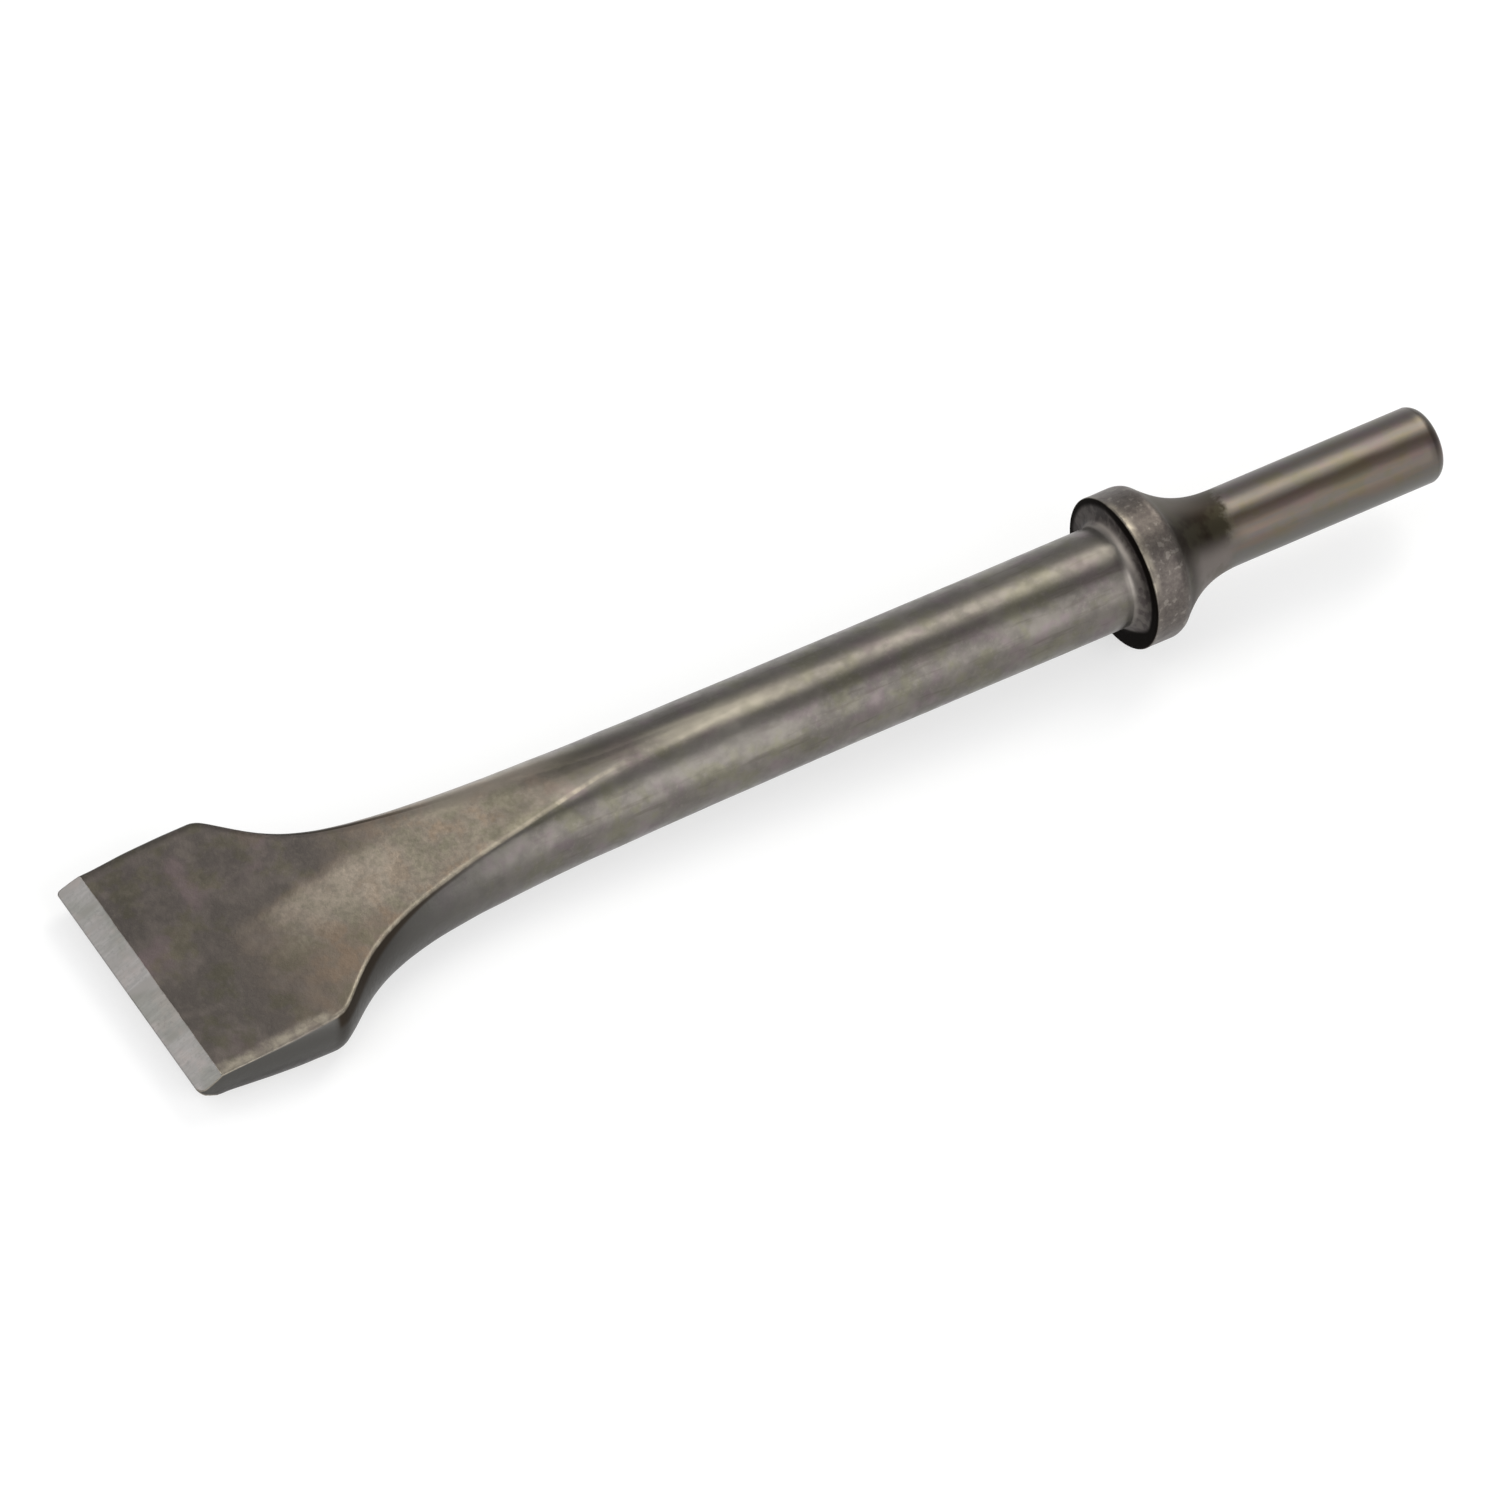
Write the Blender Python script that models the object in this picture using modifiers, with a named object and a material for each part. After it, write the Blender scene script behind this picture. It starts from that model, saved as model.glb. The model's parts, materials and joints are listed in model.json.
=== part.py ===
"""Wide flat chisel for a pneumatic hammer: one steel forging, lying as it rests on a bench.

+X runs from the cutting edge towards the striking end, +Y across the blade, +Z up.
The origin is on the surface that the chisel lies on, under the middle of its box.

The shape is worked out in the tool's own frame, whose X axis is the bar's axis with
the cutting edge at 0. At the end the chisel is tipped until it rests on its collar and
on the underside of its blade.
"""
from math import asin, atan, copysign, cos, pi, radians, sin, tan

import bmesh
import bpy
from mathutils import Matrix

MM = 0.001

# Driving dimensions of the bar
OVERALL_LENGTH = 191.2 * MM
BODY_DIAMETER = 13.5 * MM
SHANK_DIAMETER = 10.2 * MM
SHANK_CHAMFER_LENGTH = 1.3 * MM
SHANK_CHAMFER_DEPTH = 1.0 * MM

# Driving dimensions of the collar and of the taper between it and the shank
COLLAR_DIAMETER = 20.4 * MM
COLLAR_FACE_FROM_EDGE = 144.4 * MM
COLLAR_RIM_WIDTH = 4.0 * MM
COLLAR_EDGE_ROUND = 0.4 * MM
COLLAR_SHOULDER_ROUND = 2.2 * MM
BODY_FILLET = 1.4 * MM
TAPER_START_ANGLE = radians(46)
TAPER_POWER = 2.5

# Driving dimensions of the blade, which was forged slightly off the bar's axis: on the +Y
# side it is narrower by the offset, and its shoulder and flare come sooner by the lags
EDGE_WIDTH = 34.2 * MM
EDGE_LAND = 0.3 * MM
BEVEL_LENGTH = 3.0 * MM
BEVEL_HALF_ANGLE = radians(33.3)
SHOULDER_WIDTH = 36.4 * MM
SHOULDER_FROM_EDGE = 19.1 * MM
SHOULDER_ROUND = 0.7 * MM
SHOULDER_LAG = 0.7 * MM
BLADE_OFFSET = 0.2 * MM
FLARE_HALF_DISTANCE = 9.1 * MM
FLARE_LAG = 0.9 * MM
FLARE_POWER = 1.62
FLARE_END_FROM_EDGE = 104.0 * MM
FLAT_END_FROM_EDGE = 90.0 * MM
FLAT_POWER = 2.3

# Fineness of the curves
SIDES = 48
ROUND_STEPS = 6
TAPER_STEPS = 12

BODY_RADIUS = BODY_DIAMETER / 2
SHANK_RADIUS = SHANK_DIAMETER / 2
COLLAR_RADIUS = COLLAR_DIAMETER / 2
SIDE_ANGLE = 2 * pi / SIDES
WELD_DISTANCE = 0.005 * MM


def clear_scene():
    for item in list(bpy.data.objects):
        bpy.data.objects.remove(item, do_unlink=True)


def smooth_minimum(a, b, reach):
    """The smaller of a and b, with the corner between them rounded over reach."""
    overlap = max(reach - abs(a - b), 0.0)
    return min(a, b) - overlap * overlap / (4 * reach)


def flare(x, side):
    """How much of the shoulder's extra width is left at x: 1 at the shoulder, 0 at the body."""
    shoulder_x = SHOULDER_FROM_EDGE - side * SHOULDER_LAG
    half_distance = FLARE_HALF_DISTANCE - side * FLARE_LAG

    def fall(distance):
        return 1 / (1 + (distance / half_distance) ** FLARE_POWER)

    at_body = fall(FLARE_END_FROM_EDGE - shoulder_x)
    distance = min(max(x, shoulder_x), FLARE_END_FROM_EDGE) - shoulder_x
    return (fall(distance) - at_body) / (1 - at_body)


def half_width(x, side):
    """Distance from the bar's axis to one side of the forging, 1 for +Y and -1 for -Y."""
    edge = EDGE_WIDTH / 2 - side * BLADE_OFFSET
    shoulder = SHOULDER_WIDTH / 2 - side * BLADE_OFFSET
    shoulder_x = SHOULDER_FROM_EDGE - side * SHOULDER_LAG
    straight_side = edge + (shoulder - edge) * x / shoulder_x
    flared_side = BODY_RADIUS + (shoulder - BODY_RADIUS) * flare(x, side)
    return smooth_minimum(straight_side, flared_side, SHOULDER_ROUND)


def half_thickness(x):
    """Half the thickness between the two forged flats, seen from the side."""
    at_bevel = EDGE_LAND / 2 + BEVEL_LENGTH * tan(BEVEL_HALF_ANGLE)
    if x < BEVEL_LENGTH:
        return EDGE_LAND / 2 + x * tan(BEVEL_HALF_ANGLE)
    left = max(FLAT_END_FROM_EDGE - x, 0.0) / (FLAT_END_FROM_EDGE - BEVEL_LENGTH)
    return BODY_RADIUS - (BODY_RADIUS - at_bevel) * left**FLAT_POWER


def bar_section(x):
    """Outline across the bar: two flats joined by arcs of the body's own radius.

    On the round body the corners of the flats stand half a side from the top, so the
    outline is a regular polygon. At the cutting edge each side is only two corners: the
    points of its arc fall on them and are welded there.
    """
    corner_angle = min(asin(min(half_thickness(x) / BODY_RADIUS, 1.0)), pi / 2 - SIDE_ANGLE / 2)
    points = []
    for side in (1, -1):
        arc_centre = half_width(x, side) - BODY_RADIUS
        for step in range(SIDES // 2):
            angle = corner_angle * (4 * step / (SIDES - 2) - 1)
            if x == 0:
                angle = copysign(corner_angle, angle)
            y = arc_centre + BODY_RADIUS * cos(angle)
            points.append((side * y, side * BODY_RADIUS * sin(angle)))
    return points


def spread(start, end, count, power=1.0):
    """Positions from start up to but not including end, closer together near start."""
    return [start + (end - start) * (i / count) ** power for i in range(count)]


def bar_stations(ring_x):
    """Where the sections stand along the bar, from the cutting edge to the collar."""
    shoulder_start = SHOULDER_FROM_EDGE - SHOULDER_LAG - 2 * SHOULDER_ROUND
    flare_start = SHOULDER_FROM_EDGE + SHOULDER_LAG + 3 * SHOULDER_ROUND
    return (
        [0.0]
        + spread(BEVEL_LENGTH, shoulder_start, 3)
        + spread(shoulder_start, flare_start, 10)
        + spread(flare_start, FLARE_END_FROM_EDGE, 26, 1.5)
        + [FLARE_END_FROM_EDGE, ring_x]
    )


def forged_bar(ring_x):
    """Loft from the cutting edge to the ring where the turned end begins, open at the ring."""
    form = bmesh.new()
    rings = []
    for x in bar_stations(ring_x):
        rings.append([form.verts.new((x, y, z)) for y, z in bar_section(x)])
    for near, far in zip(rings, rings[1:]):
        for i in range(SIDES):
            j = (i + 1) % SIDES
            form.faces.new((near[i], far[i], far[j], near[j]))
    form.faces.new(rings[0])
    return form


def arc(centre, radius, start, end):
    """Points (radius out, distance along) of an arc; angles are measured from the outward side."""
    steps = [start + (end - start) * i / ROUND_STEPS for i in range(ROUND_STEPS + 1)]
    return [(centre[0] + radius * cos(a), centre[1] + radius * sin(a)) for a in steps]


def turned_profile():
    """Half outline of the striking end, from the middle of its face down to the body's ring."""
    face = COLLAR_FACE_FROM_EDGE
    rim_end = face + COLLAR_RIM_WIDTH

    shank_end = [
        (0.0, OVERALL_LENGTH),
        (SHANK_RADIUS - SHANK_CHAMFER_DEPTH, OVERALL_LENGTH),
        (SHANK_RADIUS, OVERALL_LENGTH - SHANK_CHAMFER_LENGTH),
    ]

    shoulder_centre = (COLLAR_RADIUS - COLLAR_SHOULDER_ROUND, rim_end)
    shoulder = arc(shoulder_centre, COLLAR_SHOULDER_ROUND, pi / 2 - TAPER_START_ANGLE, 0)

    taper_radius, taper_start = shoulder[0]
    taper_height = taper_radius - SHANK_RADIUS
    taper_length = TAPER_POWER * taper_height * tan(TAPER_START_ANGLE)
    taper = []
    for i in range(TAPER_STEPS):
        left = i / TAPER_STEPS
        taper.append(
            (SHANK_RADIUS + taper_height * left**TAPER_POWER, taper_start + taper_length * (1 - left))
        )

    edge_centre = (COLLAR_RADIUS - COLLAR_EDGE_ROUND, face + COLLAR_EDGE_ROUND)
    rim_edge = arc(edge_centre, COLLAR_EDGE_ROUND, 0, -pi / 2)

    fillet_centre = (BODY_RADIUS + BODY_FILLET, face - BODY_FILLET)
    fillet = arc(fillet_centre, BODY_FILLET, pi / 2, pi)

    return shank_end + taper + shoulder + rim_edge + fillet


def turned_end(form):
    """Add the striking end to the bar: its outline, turned about the bar's axis."""
    outline = bpy.data.meshes.new("striking_end_outline")
    points = [(radius, 0.0, along) for radius, along in turned_profile()]
    outline.from_pydata(points, [(i, i + 1) for i in range(len(points) - 1)], [])
    turned = bpy.data.objects.new("striking_end_outline", outline)
    bpy.context.scene.collection.objects.link(turned)

    screw = turned.modifiers.new("turn", "SCREW")
    screw.axis = "Z"
    screw.steps = screw.render_steps = SIDES
    screw.use_merge_vertices = True
    screw.merge_threshold = WELD_DISTANCE

    evaluated = turned.evaluated_get(bpy.context.evaluated_depsgraph_get())
    solid = bpy.data.meshes.new_from_object(evaluated)
    along_bar = Matrix.Rotation(pi / 2, 4, "Y") @ Matrix.Rotation(SIDE_ANGLE / 2, 4, "Z")
    solid.transform(along_bar)
    form.from_mesh(solid)

    bpy.data.objects.remove(turned, do_unlink=True)
    bpy.data.meshes.remove(outline)
    bpy.data.meshes.remove(solid)


def resting_tilt():
    """Angle between the bar and the bench when collar and blade both touch it."""
    rim_x = COLLAR_FACE_FROM_EDGE + COLLAR_EDGE_ROUND
    stations = [x for x in bar_stations(rim_x) if x < FLAT_END_FROM_EDGE]
    return atan(min((COLLAR_RADIUS - half_thickness(x)) / (rim_x - x) for x in stations))


def rest_on_bench(chisel):
    """Tip the chisel and move it so that it lies at z = 0 with its box centred on the origin."""
    tilt = Matrix.Rotation(-resting_tilt(), 4, "Y")
    placed = [tilt @ vertex.co for vertex in chisel.data.vertices]
    low = [min(point[axis] for point in placed) for axis in range(3)]
    high = [max(point[axis] for point in placed) for axis in range(3)]
    middle_x, middle_y = (low[0] + high[0]) / 2, (low[1] + high[1]) / 2
    chisel.matrix_world = Matrix.Translation((-middle_x, -middle_y, -low[2])) @ tilt


def forged_steel():
    material = bpy.data.materials.new("forged_steel")
    material.use_nodes = True
    shader = material.node_tree.nodes["Principled BSDF"]
    shader.inputs["Base Color"].default_value = (0.16, 0.145, 0.13, 1.0)
    shader.inputs["Metallic"].default_value = 1.0
    shader.inputs["Roughness"].default_value = 0.42
    return material


def build():
    clear_scene()
    collection = bpy.data.collections.new("air_hammer_chisel")
    bpy.context.scene.collection.children.link(collection)

    form = forged_bar(COLLAR_FACE_FROM_EDGE - BODY_FILLET)
    turned_end(form)
    bmesh.ops.remove_doubles(form, verts=form.verts, dist=WELD_DISTANCE)
    bmesh.ops.recalc_face_normals(form, faces=form.faces)

    mesh = bpy.data.meshes.new("chisel")
    form.to_mesh(mesh)
    form.free()
    mesh.materials.append(forged_steel())
    mesh.shade_smooth()
    mesh.set_sharp_from_angle(angle=radians(28))

    chisel = bpy.data.objects.new("chisel", mesh)
    collection.objects.link(chisel)
    rest_on_bench(chisel)


build()
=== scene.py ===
"""Looks of the wide flat chisel for a pneumatic hammer.

The whole tool is one steel forging, so one fine mesh stands for the one CAD node. It is
built from the same shape rules as the CAD solid, in the tool's own frame: X along the bar
with the cutting edge at 0, Y across the blade, Z through its thickness. Lengths in that
frame are in millimetres, and one matrix takes it to the row frame in metres.
"""

import json
from math import cos, exp, pi, radians, sin, sqrt, tan
from types import SimpleNamespace

import bpy
import numpy as np
from mathutils import Matrix, Vector, noise


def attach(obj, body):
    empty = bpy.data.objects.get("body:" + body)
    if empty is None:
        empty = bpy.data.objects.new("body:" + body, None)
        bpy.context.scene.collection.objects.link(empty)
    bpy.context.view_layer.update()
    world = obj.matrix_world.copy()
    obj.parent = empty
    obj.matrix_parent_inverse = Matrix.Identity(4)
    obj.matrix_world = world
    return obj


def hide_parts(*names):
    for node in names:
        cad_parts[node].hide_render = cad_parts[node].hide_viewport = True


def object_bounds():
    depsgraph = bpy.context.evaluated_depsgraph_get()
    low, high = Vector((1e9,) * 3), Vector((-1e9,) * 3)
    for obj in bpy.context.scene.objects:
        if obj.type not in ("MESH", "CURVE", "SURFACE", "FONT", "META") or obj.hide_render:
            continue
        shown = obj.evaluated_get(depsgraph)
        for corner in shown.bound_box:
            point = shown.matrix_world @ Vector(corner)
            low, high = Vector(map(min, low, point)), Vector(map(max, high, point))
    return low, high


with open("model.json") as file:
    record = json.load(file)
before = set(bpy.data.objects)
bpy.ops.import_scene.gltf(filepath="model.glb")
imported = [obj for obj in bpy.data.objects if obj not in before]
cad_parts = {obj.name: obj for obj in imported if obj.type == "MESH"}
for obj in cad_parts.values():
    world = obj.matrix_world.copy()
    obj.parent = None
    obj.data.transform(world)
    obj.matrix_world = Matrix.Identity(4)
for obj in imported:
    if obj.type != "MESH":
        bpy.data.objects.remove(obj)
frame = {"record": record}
cad_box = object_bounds()

MM = 0.001

# Shape of the forging, in millimetres, as in the CAD
BODY_RADIUS = 6.75
SHANK_RADIUS = 5.1
SHANK_CHAMFER_LENGTH = 1.3
SHANK_CHAMFER_DEPTH = 1.0
COLLAR_RADIUS = 10.2
COLLAR_RIM_WIDTH = 4.0
COLLAR_EDGE_ROUND = 0.4
COLLAR_SHOULDER_ROUND = 2.2
BODY_FILLET = 1.4
TAPER_START_ANGLE = radians(46)
TAPER_POWER = 2.5
EDGE_WIDTH = 34.2
EDGE_LAND = 0.3
BEVEL_LENGTH = 3.0
BEVEL_HALF_ANGLE = radians(33.3)
SHOULDER_WIDTH = 36.4
SHOULDER_FROM_EDGE = 19.1
SHOULDER_ROUND = 0.7
SHOULDER_LAG = 0.7
BLADE_OFFSET = 0.2
FLARE_HALF_DISTANCE = 9.1
FLARE_LAG = 0.9
FLARE_POWER = 1.62
FLARE_END = 104.0
FLAT_END = 90.0
FLAT_POWER = 2.3

# Where the taper leaves the collar, as the turn from the bar's own direction
TURN_TO_TAPER = pi / 2 - TAPER_START_ANGLE

# The fine surface: everything here stays inside the CAD solid's box
SKIN_INSET = 0.022
BEVEL_LINE_ROUND = 0.08
CHAMFER_ROUNDING = 0.6
EDGE_CORNER_ROUND = {1: 0.35, -1: 1.0}

# Rounding of the crest between a forged flat and the side
BEVEL_CORNER_REACH = 0.12
BLADE_CORNER_REACH = 0.75
FLARE_CORNER_REACH = 0.3
REACH_GROWS_FROM = 40.0
REACH_GROWTH = 0.012
REACH_FADE = 2.5
FAR_CREST_REACH = 0.7
FAR_CREST_FROM = 24.0
FAR_CREST_RUN = 16.0

# The rounded side is a little tighter where the flare starts and at the neck
SIDE_TIGHTENING = 1.2
TIGHT_FROM_EDGE = 25.0
TIGHT_SPREAD = 8.0
NECK_FROM_EDGE = 65.0
NECK_SPREAD = 9.0
NECK_THICKENING = 0.09
NECK_TIGHTENING = 0.06

# Hammer and die marks: layers of (depth, size of a lump, seed)
BLADE_DENTS = ((0.13, 9.0, 3.1), (0.045, 3.2, 7.7))
BODY_LONG_DENTS = ((0.07, 6.0, 11.3),)
BODY_DENTS = ((0.02, 3.0, 2.9),)
RIM_DENTS = ((0.09, 2.8, 5.2), (0.03, 1.3, 9.4))
LONG_DENT_SCALE = (0.35, 1.0, 1.0)
DENT_CONTRAST = 0.6
MEAN_DENT = 0.045

# Points of the mesh: in a quarter of a ring, in a whole ring, and how they crowd at the crest
QUARTER = 46
AROUND = 4 * QUARTER
CROWD = 5
CROWD_SPREAD = 0.55

# Kept on the mesh, as the distance from a crest, where the bar has none
NO_CREST = 9.0

# The floor, the surroundings and the camera
FLOOR_HALF = 7.0
FLOOR_ALBEDO = 0.42
FLOOR_GLOW = 0.60
FLOOR_ROUGHNESS = 0.9
FLOOR_GLOSS = 0.2
SKY_COLOUR = (0.97, 0.985, 1.0, 1.0)
SKY_RISE = 0.7
HORIZON_GLOW = 0.74
ZENITH_GLOW = 0.49
BACKDROP_GLOW = 1.0
LAMP_AIM = (0.02, 0.0, 0.01)
LEFT_LAMP_AIM = (0.0, 0.0, 0.01)
WARM_WHITE = (1.0, 0.98, 0.91)

VIEW_AZIMUTH = radians(-43.87)
VIEW_ELEVATION = radians(50.63)
VIEW_ROLL = radians(15.01)
VIEW_DISTANCE = 3.341
VIEW_LENS = 647.2
FILM_WIDTH = 36.0
CLIP_END = 50.0
VIEW_AIM = Vector((-0.00531, -0.00106, 0.00502))


def mount(name):
    """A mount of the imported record: where it is and which way it points."""
    found = [m for m in frame["record"]["mounts"] if m["name"] == name][0]
    return Vector(found["pos_m"]), Vector(found["axis"]).normalized()


striking_point, bar_axis = mount("striking_face")
retainer_point, _ = mount("retainer_face")
EDGE_X = cad_box[0].x
OVERALL = round((striking_point.x - EDGE_X) / bar_axis.x / MM, 1)
COLLAR_FACE = OVERALL - (striking_point - retainer_point).dot(bar_axis) / MM

across = Vector((0.0, 1.0, 0.0))
through = bar_axis.cross(across)
TOOL_TO_ROW = Matrix.Translation(striking_point - bar_axis * OVERALL * MM) @ Matrix(
    (
        (bar_axis.x * MM, across.x * MM, through.x * MM, 0.0),
        (bar_axis.y * MM, across.y * MM, through.y * MM, 0.0),
        (bar_axis.z * MM, across.z * MM, through.z * MM, 0.0),
        (0.0, 0.0, 0.0, 1.0),
    )
)


# ---------------------------------------------------------------- shape rules


def smooth_min(a, b, reach):
    """The smaller of a and b, with the corner between them rounded over reach."""
    overlap = np.maximum(reach - np.abs(a - b), 0.0)
    return np.minimum(a, b) - overlap * overlap / (4 * reach)


def half_width(x, side):
    """Distance from the bar's axis to one side of the forging, 1 for +Y and -1 for -Y."""
    edge = EDGE_WIDTH / 2 - side * BLADE_OFFSET
    shoulder = SHOULDER_WIDTH / 2 - side * BLADE_OFFSET
    shoulder_x = SHOULDER_FROM_EDGE - side * SHOULDER_LAG
    half_distance = FLARE_HALF_DISTANCE - side * FLARE_LAG

    def fall(distance):
        return 1 / (1 + (distance / half_distance) ** FLARE_POWER)

    at_body = fall(FLARE_END - shoulder_x)
    flare = (fall(min(max(x, shoulder_x), FLARE_END) - shoulder_x) - at_body) / (1 - at_body)
    straight = edge + (shoulder - edge) * x / shoulder_x
    flared = BODY_RADIUS + (shoulder - BODY_RADIUS) * flare
    corner = EDGE_CORNER_ROUND[side]
    into_corner = max(corner - x, 0.0)
    worn_off = corner - sqrt(corner**2 - into_corner**2)
    return float(smooth_min(straight, flared, SHOULDER_ROUND)) - worn_off


def half_thickness(x):
    """Distance from the middle plane to the bevel, the forged flat or the body's top."""
    at_bevel = EDGE_LAND / 2 + BEVEL_LENGTH * tan(BEVEL_HALF_ANGLE)
    ground = EDGE_LAND / 2 + x * tan(BEVEL_HALF_ANGLE)
    left = max(FLAT_END - x, 0.0) / (FLAT_END - BEVEL_LENGTH)
    forged = BODY_RADIUS - (BODY_RADIUS - at_bevel) * min(left, 1.0) ** FLAT_POWER
    return float(smooth_min(ground, forged, BEVEL_LINE_ROUND))


def corner_reach(x, thickness):
    """How far the edge between a forged flat and the side is rounded."""
    if x < BEVEL_LENGTH:
        return BEVEL_CORNER_REACH
    past_shoulder = min(max((x - SHOULDER_FROM_EDGE + 1.0) / 2.0, 0.0), 1.0)
    wanted = BLADE_CORNER_REACH + (FLARE_CORNER_REACH - BLADE_CORNER_REACH) * past_shoulder
    wanted += REACH_GROWTH * max(x - REACH_GROWS_FROM, 0.0)
    return max(min(wanted, REACH_FADE * (BODY_RADIUS - thickness)), 1e-4)


def bell(x, middle, spread):
    """1 at the middle, falling to 0 on both sides of it."""
    return exp(-(((x - middle) / spread) ** 2))


def side_radius(x):
    """Radius of the rounded side: the body's own, but tighter at two places."""
    at_flare = SIDE_TIGHTENING * bell(x, TIGHT_FROM_EDGE, TIGHT_SPREAD)
    return BODY_RADIUS - at_flare - NECK_TIGHTENING * bell(x, NECK_FROM_EDGE, NECK_SPREAD)


def far_crest_reach(x, thickness, from_middle):
    """Extra rounding of the +Y crest along the neck, none at the flat's middle and its end."""
    into_neck = min(max((x - FAR_CREST_FROM) / FAR_CREST_RUN, 0.0), 1.0)
    return min(FAR_CREST_REACH, REACH_FADE * (BODY_RADIUS - thickness)) * into_neck * from_middle


def quarter_outline(x, side):
    """Quarter of the outline across the bar at x, from one side to the middle of the flat.

    Returns QUARTER + 1 points (y, z), close together at the corner, and each one's distance
    from the corner along the outline, below 0 on the side and above 0 on the flat.
    """
    width = half_width(x, side)
    thickness = half_thickness(x) + NECK_THICKENING * bell(x, NECK_FROM_EDGE, NECK_SPREAD)
    round_side = side_radius(x)
    centre = width - round_side
    angle = np.linspace(0.0, pi / 2, 420)
    slab = thickness / np.maximum(np.sin(angle), 1e-6)
    corner_angle = np.arcsin(min(thickness / round_side, 1.0))
    reach = corner_reach(x, thickness)
    if side > 0:
        from_middle = np.clip((pi / 2 - angle) / max(pi / 2 - corner_angle, 1e-3), 0.0, 1.0)
        reach = reach + far_crest_reach(x, thickness, from_middle)
    radius = smooth_min(slab, round_side, reach)
    y = centre + radius * np.cos(angle)
    z = radius * np.sin(angle)
    if centre > 1e-6:
        flat = np.linspace(centre, 0.0, 160)[1:]
        y = np.concatenate([y, flat])
        z = np.concatenate([z, np.full(len(flat), z[-1])])
    length = np.concatenate([[0.0], np.cumsum(np.hypot(np.diff(y), np.diff(z)))])
    corner = np.interp(corner_angle, angle, length[: len(angle)])
    near = np.exp(-(((length - corner) / CROWD_SPREAD) ** 2))
    crowd = np.concatenate([[0.0], np.cumsum(np.diff(length) * (1 + CROWD * near[1:]))])
    picked = np.interp(np.linspace(0.0, crowd[-1], QUARTER + 1), crowd, length)
    return np.interp(picked, length, y), np.interp(picked, length, z), picked - corner


def bar_ring(x):
    """Closed outline at x: +Y side, top, -Y side, bottom. Rows are (x, y, z, crest)."""
    y, z, crest = quarter_outline(x, 1)
    near_y, near_z, near_crest = quarter_outline(x, -1)
    ring = np.empty((AROUND, 4))
    ring[:, 0] = x
    ring[:, 1] = np.concatenate([y[:-1], -near_y[:0:-1], -near_y[:-1], y[:0:-1]])
    ring[:, 2] = np.concatenate([z[:-1], near_z[:0:-1], -near_z[:-1], -z[:0:-1]])
    ring[:, 3] = np.concatenate([crest[:-1], near_crest[:0:-1], near_crest[:-1], crest[:0:-1]])
    return ring


def worn_chamfer(u):
    """How far along its length the rounded chamfer is, when a straight one is at u."""
    return (1 - CHAMFER_ROUNDING) * u + CHAMFER_ROUNDING * sin(u * pi / 2)


def arc(turn, count):
    """Sines and cosines of evenly spread angles from 0 to the given turn."""
    return [(sin(angle), cos(angle)) for angle in np.linspace(0, turn, count)]


def collar_profile():
    """(x, radius) from the body's fillet round the collar to the start of the taper."""
    face, rim_end, rim = COLLAR_FACE, COLLAR_FACE + COLLAR_RIM_WIDTH, COLLAR_RADIUS
    fillet = [
        (face - BODY_FILLET * (1 - up), BODY_RADIUS + BODY_FILLET * (1 - out))
        for up, out in arc(pi / 2, 14)
    ]
    face_radii = np.linspace(BODY_RADIUS + BODY_FILLET, rim - COLLAR_EDGE_ROUND, 9)
    edge = [
        (face + COLLAR_EDGE_ROUND * (1 - out), rim - COLLAR_EDGE_ROUND * (1 - up))
        for up, out in arc(pi / 2, 8)
    ]
    band = [(x, rim) for x in np.linspace(face + COLLAR_EDGE_ROUND, rim_end, 14)[1:-1]]
    shoulder = [
        (rim_end + COLLAR_SHOULDER_ROUND * up, rim - COLLAR_SHOULDER_ROUND * (1 - out))
        for up, out in arc(TURN_TO_TAPER, 9)
    ]
    return fillet + [(face, r) for r in face_radii[1:-1]] + edge + band + shoulder


def turned_profile():
    """(x, radius) from the body's fillet to the middle of the striking face."""
    collar = collar_profile()
    taper_x, taper_r = collar[-1]
    height = taper_r - SHANK_RADIUS
    length = TAPER_POWER * height * tan(TAPER_START_ANGLE)
    taper = [
        (taper_x + length * u, SHANK_RADIUS + height * (1 - u) ** TAPER_POWER)
        for u in np.linspace(0, 1, 30)[1:]
    ]
    chamfer_start = OVERALL - SHANK_CHAMFER_LENGTH
    shank = [(x, SHANK_RADIUS) for x in np.linspace(taper[-1][0], chamfer_start, 28)[1:-1]]
    chamfer = [
        (
            chamfer_start + SHANK_CHAMFER_LENGTH * worn_chamfer(u),
            SHANK_RADIUS - SHANK_CHAMFER_DEPTH * (1 - worn_chamfer(1 - u)),
        )
        for u in np.linspace(0, 1, 12)
    ]
    face_radii = np.linspace(SHANK_RADIUS - SHANK_CHAMFER_DEPTH, 0.25, 9)
    return collar + taper + shank + chamfer + [(OVERALL, r) for r in face_radii[1:]]


def bar_stations():
    """Where the rings stand from the cutting edge to the body's fillet."""
    pieces = [
        np.array([0.0, 0.03, 0.1, 0.2]),
        np.arange(0.4, BEVEL_LENGTH - 0.25, 0.25),
        np.linspace(BEVEL_LENGTH - 0.2, BEVEL_LENGTH + 0.2, 11),
        np.arange(BEVEL_LENGTH + 0.5, SHOULDER_FROM_EDGE - 2.5, 0.6),
        np.arange(SHOULDER_FROM_EDGE - 2.5, SHOULDER_FROM_EDGE + 4.0, 0.3),
        np.arange(SHOULDER_FROM_EDGE + 4.0, 60.0, 0.6),
        np.arange(60.0, FLARE_END, 0.9),
        np.arange(FLARE_END, COLLAR_FACE - BODY_FILLET - 0.6, 1.2),
    ]
    return np.concatenate(pieces)


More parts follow.
